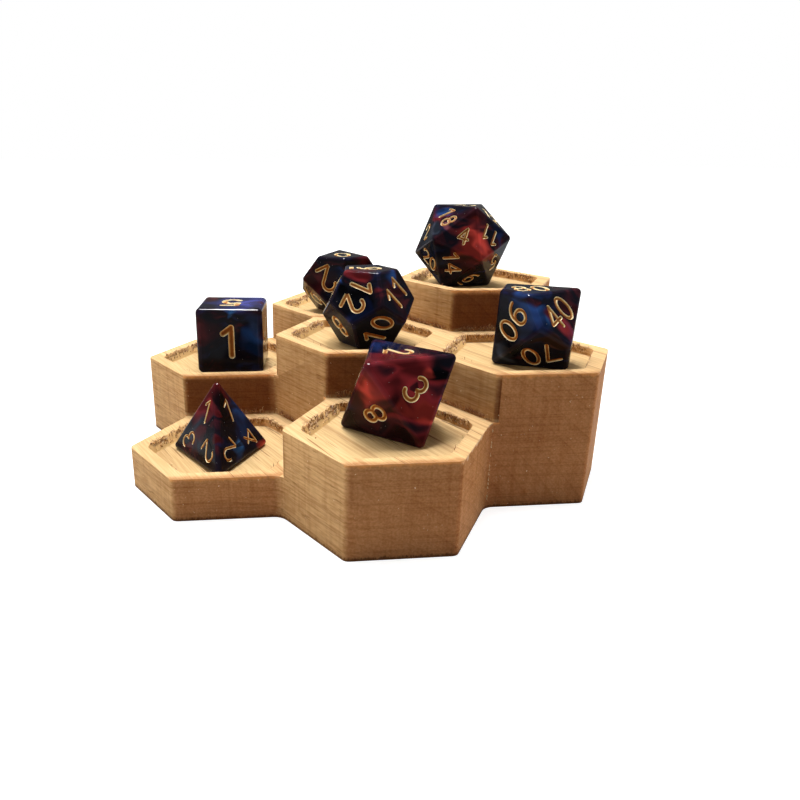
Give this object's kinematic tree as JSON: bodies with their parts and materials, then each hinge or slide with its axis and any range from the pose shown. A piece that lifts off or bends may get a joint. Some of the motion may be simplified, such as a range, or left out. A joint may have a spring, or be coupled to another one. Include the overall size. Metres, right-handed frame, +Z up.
{
  "type": "dice display stand",
  "caption": "Tiered wooden display stand of hexagonal columns, like a honeycomb stair, with a shallow tray on each column and a loose polyhedral gaming die in each tray.",
  "frame": {"origin": "On the table, under the middle of the stand's box, which is the axis of the middle column.", "axes": "+Z is up. -Y is the front, the side that the picture shows. +X is to the right. The rows of columns run along Y."},
  "size_m": [0.1038, 0.1086, 0.0561],
  "materials": {
    "maple": "bare pale maple, fine sanded, with torn fibres at the foot of the carved walls",
    "swirled_resin": "polished resin with pearly dark blue and dark red swirls and gold painted numerals"
  },
  "bodies": {
    "stand": {"stand_block": "maple"},
    "d4": {"d4_die": "swirled_resin"},
    "d6": {"d6_die": "swirled_resin"},
    "d8": {"d8_die": "swirled_resin"},
    "d10": {"d10_die": "swirled_resin"},
    "d12": {"d12_die": "swirled_resin"},
    "percentile": {"percentile_die": "swirled_resin"},
    "d20": {"d20_die": "swirled_resin"}
  },
  "joints": [
    {"name": "d4_lift", "type": "slide", "parent": "stand", "child": "d4", "axis": [0, 0, 1], "range_m": [0, 0.06]},
    {"name": "d6_lift", "type": "slide", "parent": "stand", "child": "d6", "axis": [0, 0, 1], "range_m": [0, 0.06]},
    {"name": "d8_lift", "type": "slide", "parent": "stand", "child": "d8", "axis": [0, 0, 1], "range_m": [0, 0.06]},
    {"name": "d10_lift", "type": "slide", "parent": "stand", "child": "d10", "axis": [0, 0, 1], "range_m": [0, 0.06]},
    {"name": "d12_lift", "type": "slide", "parent": "stand", "child": "d12", "axis": [0, 0, 1], "range_m": [0, 0.06]},
    {"name": "percentile_lift", "type": "slide", "parent": "stand", "child": "percentile", "axis": [0, 0, 1], "range_m": [0, 0.06]},
    {"name": "d20_lift", "type": "slide", "parent": "stand", "child": "d20", "axis": [0, 0, 1], "range_m": [0, 0.06]}
  ]
}
